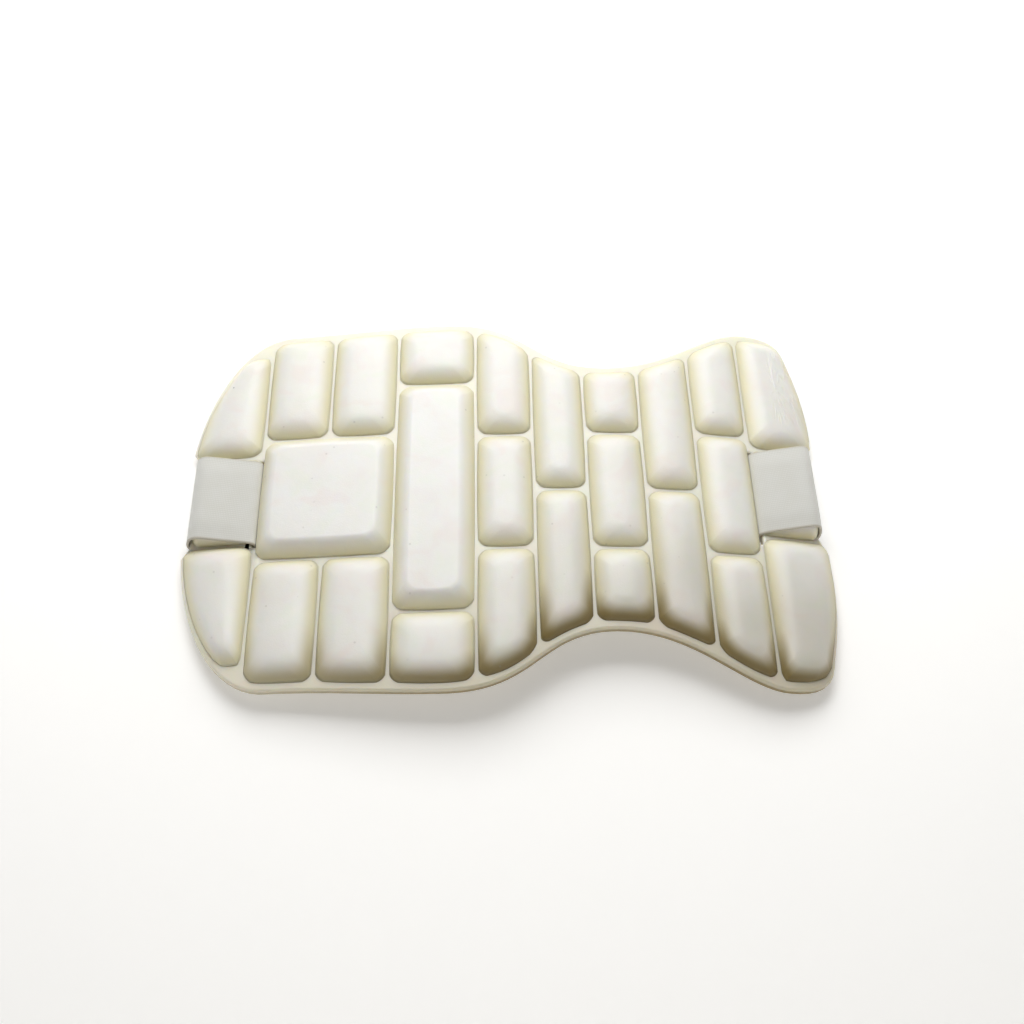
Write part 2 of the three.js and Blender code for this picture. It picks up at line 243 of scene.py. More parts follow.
# %% [markdown]
# ## Three foam finishes
# Pads, blocks and sheet come out of one mould but not quite one colour: the flat-topped blocks are whitest and
# the pads creamier. The thin sheet is a brighter, warmer cream, partly its own tone and partly painted light that
# keeps the narrow grooves bright. Each finish is its own Principled BSDF over the shared skin. A little subsurface
# light keeps the foam from looking like plaster.

# %% Foam materials
def new_material(name):
    material = bpy.data.materials.new(name)
    material.use_nodes = True
    return material, material.node_tree, material.node_tree.nodes["Principled BSDF"]


def foam_material(name, skin, wall, rim, grain_depth=0.00016):
    material, tree, shader = new_material(name)
    # Painted shade at the foot of the walls and, partly with yellowing, along the rim; wear places the specks.
    foot_shade_share = put(tree, "ShaderNodeAttribute", {"attribute_name": "wall"}).outputs["Fac"]
    rim_shade_share = put(tree, "ShaderNodeAttribute", {"attribute_name": "rim"}).outputs["Fac"]
    wear = put(tree, "ShaderNodeAttribute", {"attribute_name": "wear"}).outputs["Fac"]
    surface = put(tree, "ShaderNodeGroup", {"node_tree": foam_skin}, Skin=skin, Wall=wall, Wall_share=foot_shade_share,
                  Rim=rim, Rim_share=rim_shade_share, Wear=wear)
    bump = put(tree, "ShaderNodeBump", Height=surface.outputs["Height"], Strength=0.35, Distance=grain_depth)
    tree.links.new(surface.outputs["Color"], shader.inputs["Base Color"])
    tree.links.new(surface.outputs["Roughness"], shader.inputs["Roughness"])
    tree.links.new(bump.outputs["Normal"], shader.inputs["Normal"])
    shader.inputs["Subsurface Weight"].default_value = 0.45
    shader.inputs["Subsurface Radius"].default_value = (1.0, 0.8, 0.45)
    shader.inputs["Subsurface Scale"].default_value = 0.004
    shader.inputs["Specular IOR Level"].default_value = 0.5
    return material


# Painted shade, partly also yellowing of the foam, for the rim; each finish's second colour is its wall shade.
RIM_SHADE_AND_AGE_COLOUR = (0.25, 0.19, 0.075, 1)
pad_foam = foam_material("pad foam", (0.87, 0.865, 0.835, 1), (0.82, 0.76, 0.52, 1), RIM_SHADE_AND_AGE_COLOUR)
block_foam = foam_material("block foam", (0.885, 0.885, 0.87, 1), (0.86, 0.8, 0.57, 1), RIM_SHADE_AND_AGE_COLOUR)
# The sheet's brighter, warmer skin is partly painted light that keeps the narrow grooves bright.
sheet_foam = foam_material("sheet foam", (0.92, 0.9, 0.79, 1), (0.62, 0.57, 0.42, 1), RIM_SHADE_AND_AGE_COLOUR)
print("finishes:", pad_foam.name, block_foam.name, sheet_foam.name, sep=", ")

# %% [markdown]
# ## Foam sheet
# The sheet is cut to the outline, with a slot near each end and a shallow notch where the strap goes round the
# edge. A boolean could cut them, but it leaves ragged faces. Here the flat outline is one face, bisect_plane
# draws lines across it at each place where it is cut or bends, and the faces in the slots and notches are
# deleted. solidify then gives it thickness and bevel rounds its rim, while it is still flat.

# %% Flat sheet with its slots
STRAP_WIDTH, STRAP_THICKNESS = 45.0, 1.2
StrapEnd = namedtuple("StrapEnd", "edge inward slot askew notch slot_low slot_high")
FIRST_END = StrapEnd(0.0, 1, 36.5, 0.4, 5.5, -25.2, 22.0)
LAST_END = StrapEnd(LENGTH, -1, 269.5, 4.6, 4.5, -25.6, 25.2)
STRAP_ENDS = (FIRST_END, LAST_END)
SLOT_WIDTH = 2.2
NOTCH_HALF, NOTCH_SLANT = STRAP_WIDTH / 2 + 1, 9.0
SHEET_PLACES, BEND_STEP, SHORTEST_EDGE = 110, 5.0, 0.35


def in_slot(end, spot):
    return abs(spot.x - end.slot) < SLOT_WIDTH / 2 and end.slot_low < spot.y < end.slot_high


def in_notch(end, spot):
    depth = abs(spot.x - end.edge) / end.notch
    return depth < 1 and abs(spot.y - end.askew) < NOTCH_HALF + NOTCH_SLANT * (1 - depth)


def cut_across(bm, place, normal, faces=None):
    faces = bm.faces[:] if faces is None else faces
    edges = {edge for face in faces for edge in face.edges}
    verts = {vert for face in faces for vert in face.verts}
    bmesh.ops.bisect_plane(bm, geom=[*verts, *edges, *faces], plane_co=place, plane_no=normal, dist=1e-4)


def cut_notch(bm, end):
    """Draws the slanted sides of a notch in the strip of faces between its floor and the edge of the sheet."""
    for side in (1, -1):
        strip = [face for face in bm.faces if abs(face.calc_center_median().x - end.edge) < end.notch]
        corner = Vector((end.edge, end.askew + side * (NOTCH_HALF + NOTCH_SLANT), 0))
        along = Vector((end.inward * end.notch, -side * NOTCH_SLANT, 0))
        cut_across(bm, corner, along.cross(Vector((0, 0, 1))), strip)


def flat_sheet():
    bm = bmesh.new()
    half = evenly(half_outline(), SHEET_PLACES)
    loop = [bm.verts.new((x, y, 0)) for x, y in half] + [bm.verts.new((x, -y, 0)) for x, y in half[::-1]]
    bm.faces.new(loop)
    stations = {end.slot + side * SLOT_WIDTH / 2 for end in STRAP_ENDS for side in (-1, 1)}
    stations |= {end.edge + end.inward * end.notch for end in STRAP_ENDS}
    for step in np.arange(BEND_STEP, LENGTH, BEND_STEP):
        if min(abs(step - station) for station in stations) > 1:
            cut_across(bm, (step, 0, 0), (1, 0, 0))
    for station in sorted(stations):
        cut_across(bm, (station, 0, 0), (1, 0, 0))
    for across in sorted({place for end in STRAP_ENDS for place in (end.slot_low, end.slot_high)}):
        cut_across(bm, (0, across, 0), (0, 1, 0))
    for end in STRAP_ENDS:
        cut_notch(bm, end)
    bmesh.ops.remove_doubles(bm, verts=bm.verts, dist=SHORTEST_EDGE)
    return bm


def open_holes(bm):
    def is_open(spot):
        return any(in_slot(end, spot) or in_notch(end, spot) for end in STRAP_ENDS)

    gone = [face for face in bm.faces if is_open(face.calc_center_median())]
    bmesh.ops.delete(bm, geom=gone, context="FACES")
    return len(gone)


sheet_bm = flat_sheet()
print("faces taken out for slots and notches:", open_holes(sheet_bm), "of", len(sheet_bm.faces))

# %% [markdown]
# ## Rim and bend
# The rim of the sheet is rounded while the sheet is flat, and then every vertex goes to its place on the arch.
# The whole rim gets a share of a dark yellow-brown, most on the lower side towards the waisted end, where the
# flange gets some too. It is painted shade, partly also yellowing of the foam.

# %% Thickness, rounded rim and bend
RIM_ROUND, RIM_SEGMENTS = 1.3, 4
# Painted shade, partly also yellowing of the foam: where it falls on the sheet and how strong it is on rim and
# flange.
SHADE_AND_AGEING_STATIONS, SHADED_AND_AGED_SIDE = (-60, 170), (20, 90)
RIM_SHADE_FADE, RIM_SHADE_AND_AGEING, FLANGE_SHADE_AND_AGEING = (0.1, RIM_ROUND + 0.1), 0.4, 0.4


def thicken(bm, thickness):
    """Makes flat faces a closed slab, with its top face at height 0."""
    bmesh.ops.recalc_face_normals(bm, faces=bm.faces)
    if sum(face.normal.z * face.calc_area() for face in bm.faces) < 0:
        bmesh.ops.reverse_faces(bm, faces=bm.faces)
    bmesh.ops.solidify(bm, geom=bm.verts[:] + bm.edges[:] + bm.faces[:], thickness=thickness)
    top = max(vert.co.z for vert in bm.verts)
    bmesh.ops.translate(bm, vec=(0, 0, -top), verts=bm.verts)


def round_rim(bm, offset, segments):
    """Rounds the edges of a slab, and keeps the shading of its flat faces apart from that of the rounding."""
    bm.normal_update()
    corners = [edge for edge in bm.edges if edge.is_manifold and edge.calc_face_angle() > 1]
    corners = [edge for edge in corners if abs(edge.verts[0].co.z - edge.verts[1].co.z) < offset / 2]
    bmesh.ops.bevel(bm, geom=corners, offset=offset, segments=segments, profile=0.5, affect="EDGES", material=-1,
                    clamp_overlap=False)
    bm.normal_update()
    for edge in bm.edges:
        flat_faces = sum(abs(face.normal.z) > 0.999 for face in edge.link_faces)
        edge.smooth = flat_faces != 1


def smooth_step(value, low, high):
    share = max(0.0, min(1.0, (value - low) / (high - low)))
    return share * share * (3 - 2 * share)


def shade_and_ageing(station):
    """How strong the painted shade, partly also yellowing, of the lower side is at a station."""
    return smooth_step(station, *SHADE_AND_AGEING_STATIONS)


def bend(bm, lift=0.0):
    for vert in bm.verts:
        station, across, height = vert.co
        vert.co = on_arch(station, across, height + lift)


thicken(sheet_bm, THICKNESS)
round_rim(sheet_bm, RIM_ROUND, RIM_SEGMENTS)
# Painted shade, partly also yellowing: on all of the rim, and more on the lower side towards the waisted end.
sheet_rim_shade = layer_of(sheet_bm, "rim")
for vert in sheet_bm.verts:
    shaded_and_aged = shade_and_ageing(vert.co.x) * smooth_step(-vert.co.y, *SHADED_AND_AGED_SIDE)
    on_rim = smooth_step(-vert.co.z, *RIM_SHADE_FADE)
    vert[sheet_rim_shade] = max(on_rim * (RIM_SHADE_AND_AGEING + (1 - RIM_SHADE_AND_AGEING) * shaded_and_aged), FLANGE_SHADE_AND_AGEING * shaded_and_aged)
bend(sheet_bm)
sheet_piece = finish_piece(sheet_bm, "moulded_sheet", sheet_foam, "foam_sheet", "foam_sheet")
print("sheet:", len(sheet_piece.data.polygons), "faces, closed")

# %% [markdown]
# ## Pad forms
# A pad rises from a small flare at its foot and round a broad shoulder to a crowned top. The two blocks have
# straight sloping sides and a flat top. The pads under the strap are pressed into wedges, high at the outer end
# and thin at the slot. The side is drawn once as a line of distances in from the edge and heights. On crowned
# pads the shoulder ends with a small slope and the crown goes on at the same slope, so that no ring shows where
# they meet.

# %% Side of a pad
PadForm = namedtuple("PadForm", "height wall draft shoulder fullness corner crown lean drawn_in")
SOFT = PadForm(5, 0.4, 0, 9.5, 2.2, 6, 0.6, 0, 0)
BLOCK = PadForm(6, 4.2, 4, 7.4, 2, 7, 0, 0, 0)
PRESSED_FIRST = PadForm(4, 0.8, 0, 5, 2.2, 5, 0, 0.85, 4.4)
PRESSED_LAST = PadForm(5, 0.8, 0, 5, 2.2, 5, 0, 0.85, 4)
DOME_REACH = 100.0
FOOT_FLARE, CROWN_SLOPE = 0.4, 0.08
FOOT_STEPS, SHOULDER_STEPS, TOP_STEPS = 3, 14, 7


def pad_side(form, half_width, detail):
    span = form.shoulder - form.draft
    slope = min(CROWN_SLOPE, 2 * form.crown / (half_width - form.shoulder))
    crown = slope * (half_width - form.shoulder) / 2
    rise = form.height - form.wall - slope * span
    side = []
    for i in range(FOOT_STEPS):
        turn = math.pi / 2 * i / FOOT_STEPS
        side.append((-FOOT_FLARE * (1 - math.sin(turn)), form.wall * (1 - math.cos(turn)) / 2))
    for i in range(SHOULDER_STEPS * detail + 1):
        share = i / (SHOULDER_STEPS * detail)
        climbed = rise * (1 - (1 - share) ** form.fullness) + slope * span * share
        side.append((form.draft + span * share, form.wall + climbed))
    for i in range(1, TOP_STEPS + 1):
        share = i / TOP_STEPS
        side.append((form.shoulder + (DOME_REACH - form.shoulder) * share,
                     form.height + crown * (1 - (1 - share) ** 2)))
    return side


print("soft pad, side points:", len(pad_side(SOFT, 15, 1)), "top in mm:", round(pad_side(SOFT, 15, 1)[-1][1], 2))

# %% [markdown]
# ## Cells between the grooves
# Grooves cross the guard at ten column lines, and within a column at a few rows. A pad fills the cell between
# its grooves. At both ends of the guard the cell follows the round end of the bed, and along the sides the bed's
# edge. The table gives one row for each pad, or for each pair of pads that mirror each other.

# %% Pad table and cells
GAP = 0.3
GROOVE = STRAP_THICKNESS + 2 * GAP
GROOVE_STATIONS = (0, 36.5, 68, 100, 138, 165, 190, 217, 243, 269.5, LENGTH)
PadRow = namedtuple("PadRow", "name sides first last low high form")
BOTH, UPPER, LOWER, MIDDLE = (1, -1), (1,), (-1,), (0,)
PAD_ROWS = [
    PadRow("pad_1", BOTH, 1, 1, 24, 85, SOFT),
    PadRow("pad_1_middle", MIDDLE, 1, 1, -24, 24, PRESSED_FIRST),
    PadRow("pad_2", BOTH, 2, 2, 33, None, SOFT),
    PadRow("pad_3", BOTH, 3, 3, 33, None, SOFT),
    PadRow("badge_block", MIDDLE, 2, 3, -33, 33, BLOCK),
    PadRow("pad_4", BOTH, 4, 4, 62, None, SOFT),
    PadRow("centre_block", MIDDLE, 4, 4, -62, 62, BLOCK),
    PadRow("pad_5", BOTH, 5, 5, 31, None, SOFT),
    PadRow("pad_5_middle", MIDDLE, 5, 5, -31, 31, SOFT),
    PadRow("pad_6", BOTH, 6, 6, 0, None, SOFT),
    PadRow("pad_7", BOTH, 7, 7, 31.5, None, SOFT),
    PadRow("pad_7_middle", MIDDLE, 7, 7, -31.5, 31.5, SOFT),
    PadRow("pad_8", BOTH, 8, 8, 0, None, SOFT),
    PadRow("pad_9", BOTH, 9, 9, 33, None, SOFT),
    PadRow("pad_9_middle", MIDDLE, 9, 9, -33, 33, SOFT),
    PadRow("pad_10", UPPER, 10, 10, 27, 95, SOFT),
    PadRow("pad_10_middle", MIDDLE, 10, 10, -22, 27, PRESSED_LAST),
    PadRow("pad_10", LOWER, 10, 10, 22, 95, SOFT),
]


class Cell:
    def __init__(self, row):
        self.row = row
        self.start = GROOVE_STATIONS[row.first - 1] + GROOVE / 2
        self.stop = GROOVE_STATIONS[row.last] - GROOVE / 2
        self.low = row.low + GROOVE / 2
        middle = (self.low + self.high((self.start + self.stop) / 2)) / 2
        self.station = (self.left(middle) + self.right(middle)) / 2
        self.across = middle
        self.half_width = middle - self.low
        self.half_length = (self.right(middle) - self.left(middle)) / 2

    def left(self, across):
        at_end = np.interp(abs(across), *first_end.T[::-1]) + self.row.form.drawn_in
        return at_end if self.row.first == 1 else self.start

    def right(self, across):
        at_end = np.interp(abs(across), *last_end.T[::-1]) - self.row.form.drawn_in
        return at_end if self.row.last == 10 else self.stop

    def high(self, station):
        return np.interp(station, bed[:, 0], bed[:, 1]) if self.row.high is None else self.row.high - GROOVE / 2

    def spot(self, along, across):
        """Station and distance across of a place in the cell, from its shares of the half length and half width."""
        upward = (across + 1) / 2
        level = self.low + (self.high(self.station) - self.low) * upward
        left, right = self.left(level), self.right(level)
        station = left + (right - left) * (along + 1) / 2
        return station, self.low + (self.high(station) - self.low) * upward


cells = [Cell(row) for row in PAD_ROWS]
print("cells:", len(cells), "smallest half length in mm:", round(min(cell.half_length for cell in cells), 1))

# %% [markdown]
# ## Pads
# Each pad starts as its side line, spun once round into a dome, and the dome is then squared up into its cell.
# Spinning gives neat rings that follow the pad's edge, which a subdivided box doesn't. Real pads are never quite
# alike, so a slow noise moves each top by a fraction of a millimetre. The upper pad of the last column has fine
# creases near its outer end, where the foam has been bent, and the upper pad of the first one carries most of
# the specks. Every pad gets painted shade down its walls towards the foot. The lower pads get more, partly also
# yellowing of the foam: their outer walls are dark, and their tops darker and yellower towards the waisted end.

# %% Spin and square up a pad
PAD_SIDES = 128
SEAT = 0.04
WOBBLE_DEPTH, WOBBLE_LENGTH = 0.18, 17.0
# Painted shade: down every wall towards the foot, and on the lower pads, partly also yellowing, on outer walls and
# tops.
FOOT_SHADE_FADE, SHADED_AGED_WALL_FADE, SHADED_AGED_WALL_ACROSS = (0.1, 1.0), (0.25, 1.15), (0.0, 0.9)
TOP_SHADE_AND_AGEING, SHADED_AGED_TOP_STATIONS, SHADED_AGED_TOP_ACROSS = 0.28, (70, 270), (-1.0, 0.4)
CREASED_PAD, WORN_PAD = "pad_10_upper", "pad_1_upper"
CREASE_DEPTH, CREASE_STATIONS, CREASE_NEAR, CREASE_FAR = 0.55, (281, 287), (36, 46), (90, 78)
FULL_WEAR, LIGHT_WEAR = 1.0, 0.25
FOOT_ANGLE = 1.2


def spun_dome(form, half_width, detail):
    bm = bmesh.new()
    side = [(DOME_REACH, 0.0)] + pad_side(form, half_width, detail)
    verts = [bm.verts.new((DOME_REACH - inset, 0, height)) for inset, height in side]
    edges = [bm.edges.new(pair) for pair in zip(verts, verts[1:])]
    bmesh.ops.spin(bm, geom=verts + edges, cent=(0, 0, 0), axis=(0, 0, 1), angle=2 * math.pi,
                   steps=PAD_SIDES * detail, use_merge=True)
    bmesh.ops.remove_doubles(bm, verts=bm.verts, dist=1e-4)
    return bm


def squared(angle, half_length, half_width, corner):
    radius = min(corner, half_length, half_width)
    c, s = math.cos(angle), math.sin(angle)
    along = (half_length - radius) * max(-1, min(1, 3 * c)) + radius * c
    across = (half_width - radius) * max(-1, min(1, 3 * s)) + radius * s
    return along, across


def creases(station, across):
    """Height of the fine creases near the outer end of the upper pad of the last column."""
    window = smooth_step(station, *CREASE_STATIONS)
    window *= smooth_step(across, *CREASE_NEAR) * smooth_step(across, *CREASE_FAR)
    wave = noise.noise(Vector((station * 0.42 + across * 0.09, across * 0.07, 3.0)))
    return CREASE_DEPTH * window * (1 - min(1, abs(wave) * 5)) ** 2


def shape_pad(bm, cell, name, side, seed):
    form = cell.row.form
    wall, rim_shade_layer, wear = layer_of(bm, "wall"), layer_of(bm, "rim"), layer_of(bm, "wear")
    for vert in bm.verts:
        inset = DOME_REACH - math.hypot(vert.co.x, vert.co.y)
        angle = math.atan2(vert.co.y, vert.co.x)
        height = vert.co.z
        edge = min(inset, form.shoulder)
        share = 1 - max(inset - form.shoulder, 0) / (DOME_REACH - form.shoulder)
        along, across = squared(angle, (cell.half_length - edge) * share, (cell.half_width - edge) * share,
                                form.corner * share)
        along, across = along / cell.half_length, across / cell.half_width
        station, off_axis = cell.spot(along, side * across)
        outward = -along if cell.row.first == 1 else along
        body = height / form.height
        height *= 1 + form.lean * outward
        if form is SOFT:
            height += body * WOBBLE_DEPTH * noise.noise(Vector((station, off_axis, 40 * seed)) / WOBBLE_LENGTH)
        if name == CREASED_PAD:
            height += creases(station, off_axis) * smooth_step(body, 0.3, 0.6)
        # Painted shade down the wall towards the foot, and on the lower pads, partly also yellowing, on outer walls
        # and tops.
        vert[wall] = 1 - smooth_step(body, *FOOT_SHADE_FADE)
        shaded_and_aged = shade_and_ageing(station) if side < 0 and cell.row.first > 1 else 0.0
        on_wall = smooth_step(-across, *SHADED_AGED_WALL_ACROSS) * (1 - smooth_step(body, *SHADED_AGED_WALL_FADE))
        on_top = TOP_SHADE_AND_AGEING * smooth_step(station, *SHADED_AGED_TOP_STATIONS) * smooth_step(-across, *SHADED_AGED_TOP_ACROSS)
        vert[rim_shade_layer] = shaded_and_aged * max(on_wall, on_top)
        vert[wear] = FULL_WEAR if name == WORN_PAD else LIGHT_WEAR
        vert.co = on_arch(station, side * off_axis, height + SEAT)


def sharpen_foot(bm):
    """Keeps the shading of the wall apart from that of the flat underside."""
    for edge in bm.edges:
        if len(edge.link_faces) == 2 and edge.calc_face_angle() > FOOT_ANGLE:
            edge.smooth = False


# %% Make all the pads
def make_pad(cell, name, side, seed):
    row = cell.row
    detail = 3 if name == CREASED_PAD else 1
    bm = spun_dome(row.form, min(cell.half_width, cell.half_length), detail)
    shape_pad(bm, cell, name, side, seed)
    bm.normal_update()
    sharpen_foot(bm)
    look = (block_foam, "foam_block") if row.form is BLOCK else (pad_foam, "foam_pad")
    return finish_piece(bm, f"{name}_foam", *look, name)


SIDE_ENDINGS = {1: "_upper", -1: "_lower", 0: ""}
pads, pad_cells = {}, {}
for seed, cell in enumerate(cells):
    for side in cell.row.sides:
        name = cell.row.name + SIDE_ENDINGS[side]
        pads[name] = make_pad(cell, name, side or 1, seed + side / 4)
        pad_cells[name] = cell
triangles = sum(len(face.vertices) - 2 for piece in pads.values() for face in piece.data.polygons)
print("pads:", len(pads), "triangles:", triangles)

# %% [markdown]
# ## The way of the strap
# The elastic is one band. It lies on the table under the guard, goes up round the end of the sheet, over the
# middle pad and down through the slot, and its tail is sewn to the band underneath. Seen from the side it is
# pulled tight round a row of pegs: the two edges of the sheet and the points of the pad's side. Working out that
# taut line gives a better band than a drawn curve, because it touches where the real one touches.

# %% Taut line round the pegs
Peg = namedtuple("Peg", "x z radius")
HALF_BAND, TAIL = STRAP_THICKNESS / 2, 22.0
TAIL_HEIGHT = STRAP_THICKNESS + GAP + HALF_BAND
TURN_EASE, TURN_REACH, TURN_STEPS = 1.0, 6.0, 12


def peg_heading(one, two):
    span = math.hypot(two.x - one.x, two.z - one.z)
    return math.atan2(two.z - one.z, two.x - one.x) - math.asin((one.radius - two.radius) / span)


def taut_line(pegs, first_heading, last_heading, arc_step=math.pi / 30):
    touched = []
    for peg in pegs:
        while len(touched) > 1 and peg_heading(touched[-1], peg) > peg_heading(touched[-2], touched[-1]):
            touched.pop()
        touched.append(peg)
    turns = [first_heading, *[peg_heading(one, two) for one, two in zip(touched, touched[1:])], last_heading]
    points = []
    for peg, start, stop in zip(touched, turns, turns[1:]):
        steps = max(1, round(abs(start - stop) / arc_step))
        for i in range(steps + 1):
            turn = start + (stop - start) * i / steps
            points.append(Vector((peg.x - peg.radius * math.sin(turn), peg.z + peg.radius * math.cos(turn))))
    return points


def end_loop(cell, hand):
    """The band at one end, from the table to the end of its tail. hand is 1 at the first end, -1 at the last."""
    seat = on_arch(cell.station, 0, GAP)
    tilt = tilt_at(cell.station)
    form = cell.row.form

    def pad_peg(outward, inset, height):
        reach = outward * (cell.half_length - inset)
        height *= 1 + form.lean * reach / cell.half_length
        along = -hand * reach
        x = seat.x + along * math.cos(tilt) + height * math.sin(tilt)
        z = seat.z - along * math.sin(tilt) + height * math.cos(tilt)
        return Peg(hand * x, z, GAP + HALF_BAND)

    station = FIRST_END.notch if hand > 0 else LENGTH - LAST_END.notch
    foot, brow = on_arch(station, 0, -THICKNESS), on_arch(station, 0, 0)
    side = [point for point in pad_side(form, cell.half_width, 1) if 0 <= point[0] <= form.shoulder]
    pegs = [Peg(hand * foot.x, foot.z, foot.z - HALF_BAND), Peg(hand * brow.x, brow.z, GAP + HALF_BAND)]
    pegs += [pad_peg(1, *point) for point in side] + [pad_peg(-1, *point) for point in reversed(side)]
    down = -math.pi / 2 - hand * tilt
    line = taut_line(pegs, math.pi, down)
    through = Vector((math.cos(down), math.sin(down))) * (THICKNESS + 3 * GAP)
    exit_point = line[-1] + through
    bent, flat = (Vector((exit_point.x + reach, TAIL_HEIGHT)) for reach in (TURN_EASE, TURN_REACH))
    turn = [point.to_3d() for point in (exit_point, exit_point, bent, flat)]
    curve = interpolate_bezier(*turn, TURN_STEPS)
    line += [point.to_2d() for point in curve[1:]]
    line.append(line[-1] + Vector((TAIL, 0)))
    return [Vector((hand * point.x, point.y)) for point in line]


taut = end_loop(pad_cells["pad_1_middle"], 1)[::-1] + end_loop(pad_cells["pad_10_middle"], -1)
strap_length = sum((b - a).length for a, b in zip(taut, taut[1:]))
print("strap, relaxed length in mm:", round(strap_length, 1))

# %% [markdown]
# ## Elastic finish
# The strap is a fine pale grey weave: cords along its length, crossed by a tight weft. Along both edges of the
# band runs a thin darker, browner line, which is painted shade. A pattern on Object coordinates would shear where
# the strap turns, so every vertex carries its own place along and across the band, in millimetres, as an
# attribute, and the weave reads that.

# %% Elastic material
def elastic_material(name):
    material, tree, shader = new_material(name)
    weave = put(tree, "ShaderNodeAttribute", {"attribute_name": "weave"}).outputs["Vector"]
    across = put(tree, "ShaderNodeSeparateXYZ", Vector=weave).outputs["Y"]
    cords = put(tree, "ShaderNodeTexWave", {"wave_type": "BANDS", "bands_direction": "Y"}, Vector=weave,
                Scale=0.3, Distortion=0.4, Detail=1.0).outputs["Fac"]
    weft = put(tree, "ShaderNodeTexWave", {"wave_type": "BANDS", "bands_direction": "X"}, Vector=weave,
               Scale=0.42, Distortion=0.5, Detail=1.0).outputs["Fac"]
    fuzz = put(tree, "ShaderNodeTexNoise", Vector=weave, Scale=2.2, Detail=3.0).outputs["Fac"]
    cloud = put(tree, "ShaderNodeTexNoise", Vector=weave, Scale=0.12, Detail=2.0).outputs["Fac"]
    cloth = put(tree, "ShaderNodeMath", {"operation": "MULTIPLY"}, _0=cords, _1=weft).outputs[0]
    height = put(tree, "ShaderNodeMath", {"operation": "MULTIPLY_ADD"}, _0=fuzz, _1=0.5, _2=cloth).outputs[0]
    off_axis = put(tree, "ShaderNodeMath", {"operation": "ABSOLUTE"}, _0=across).outputs[0]
    # Painted shade: a thin brown line along both edges of the band.
    edge_shade = remap(tree, off_axis, STRAP_WIDTH / 2 - 1.4, STRAP_WIDTH / 2 - 0.2, 0.0, 0.55)
    plain = blend(tree, remap(tree, cloth, 0.0, 0.8), (0.7, 0.705, 0.675, 1), (0.76, 0.765, 0.74, 1))
    clouded = blend(tree, remap(tree, cloud, 0.3, 0.7, 0.0, 0.5), plain, (0.96, 0.955, 0.93, 1), "MULTIPLY")
    edged = blend(tree, edge_shade, clouded, (0.47, 0.42, 0.33, 1))
    bump = put(tree, "ShaderNodeBump", Height=height, Strength=0.25, Distance=0.0002)
    tree.links.new(edged, shader.inputs["Base Color"])
    tree.links.new(remap(tree, fuzz, 0.3, 0.7, 0.74, 0.9), shader.inputs["Roughness"])
    tree.links.new(bump.outputs["Normal"], shader.inputs["Normal"])
    shader.inputs["Sheen Weight"].default_value = 0.15
    shader.inputs["Specular IOR Level"].default_value = 0.3
    return material


elastic = elastic_material("woven elastic")
print("finish:", elastic.name)

# %% [markdown]
# ## Strap
# The band is modelled as it comes off the roll: a flat grid of its whole length, given its thickness with
# rounded edges, and then laid along the taut line. Over the pads its edges droop a little where nothing holds
# them up. It lies slightly askew, nearer one side at the waisted end, as the real one does.

# %% Flat band laid along the taut line
STRAP_STEP, STRAP_ROWS = 1.5, 20
EDGE_ROUND, EDGE_SEGMENTS = 0.4, 2
EDGE_DROOP, DROOP_ACROSS, DROOP_HEIGHTS = 0.9, (STRAP_WIDTH * 0.3, STRAP_WIDTH / 2), (9, 14)
STRAP_SKEW = -2.5


def band_line(points, step):
    run = np.cumsum([0] + [(b - a).length for a, b in zip(points, points[1:])])
    count = round(run[-1] / step)
    places = np.linspace(0, run[-1], count + 1)
    line = np.column_stack([np.interp(places, run, [point[axis] for point in points]) for axis in range(2)])
    for _ in range(2):
        line[1:-1] = line[1:-1] / 2 + (line[:-2] + line[2:]) / 4
    return line


def strap_shift(x, z):
    """The run on the table goes straight from end to end. The rest skews on its way from the edge to the slot."""
    first_x, last_x = on_arch(0, 0, 0).x, on_arch(LENGTH, 0, 0).x
    askew = np.interp(x, (first_x, last_x), (FIRST_END.askew, LAST_END.askew))
    if z < STRAP_THICKNESS:
        return askew
    end = FIRST_END if x < CROWN_X else LAST_END
    edge, slot = on_arch(end.edge + end.inward * end.notch, 0, 0).x, on_arch(end.slot, 0, 0).x
    return askew + STRAP_SKEW * max(0.0, min(1.0, (x - edge) / (slot - edge)))


def lay_band(bm, line, length):
    weave = layer_of(bm, "weave", "float_vector")
    places = np.linspace(0, length, len(line))
    direction = np.gradient(line, axis=0)
    direction /= np.linalg.norm(direction, axis=1)[:, None]
    for vert in bm.verts:
        along, across, height = vert.co
        x, z = (np.interp(along, places, line[:, axis]) for axis in range(2))
        lead, climb = (np.interp(along, places, direction[:, axis]) for axis in range(2))
        droop = EDGE_DROOP * smooth_step(abs(across), *DROOP_ACROSS) * smooth_step(z, *DROOP_HEIGHTS)
        vert[weave] = (along, across, height)
        vert.co = (x - climb * height, across + strap_shift(x, z), z + lead * height - droop)


strap_line = band_line(taut, STRAP_STEP)
strap_bm = bmesh.new()
bmesh.ops.create_grid(strap_bm, x_segments=len(strap_line) - 1, y_segments=STRAP_ROWS, size=0.5)
bmesh.ops.scale(strap_bm, vec=(strap_length, STRAP_WIDTH, 1), verts=strap_bm.verts)
bmesh.ops.translate(strap_bm, vec=(strap_length / 2, 0, 0), verts=strap_bm.verts)
thicken(strap_bm, STRAP_THICKNESS)
bmesh.ops.translate(strap_bm, vec=(0, 0, HALF_BAND), verts=strap_bm.verts)
round_rim(strap_bm, EDGE_ROUND, EDGE_SEGMENTS)
lay_band(strap_bm, strap_line, strap_length)
strap = finish_piece(strap_bm, "elastic_band", elastic, "elastic", "elastic_strap")
print("strap:", len(strap.data.polygons), "faces")

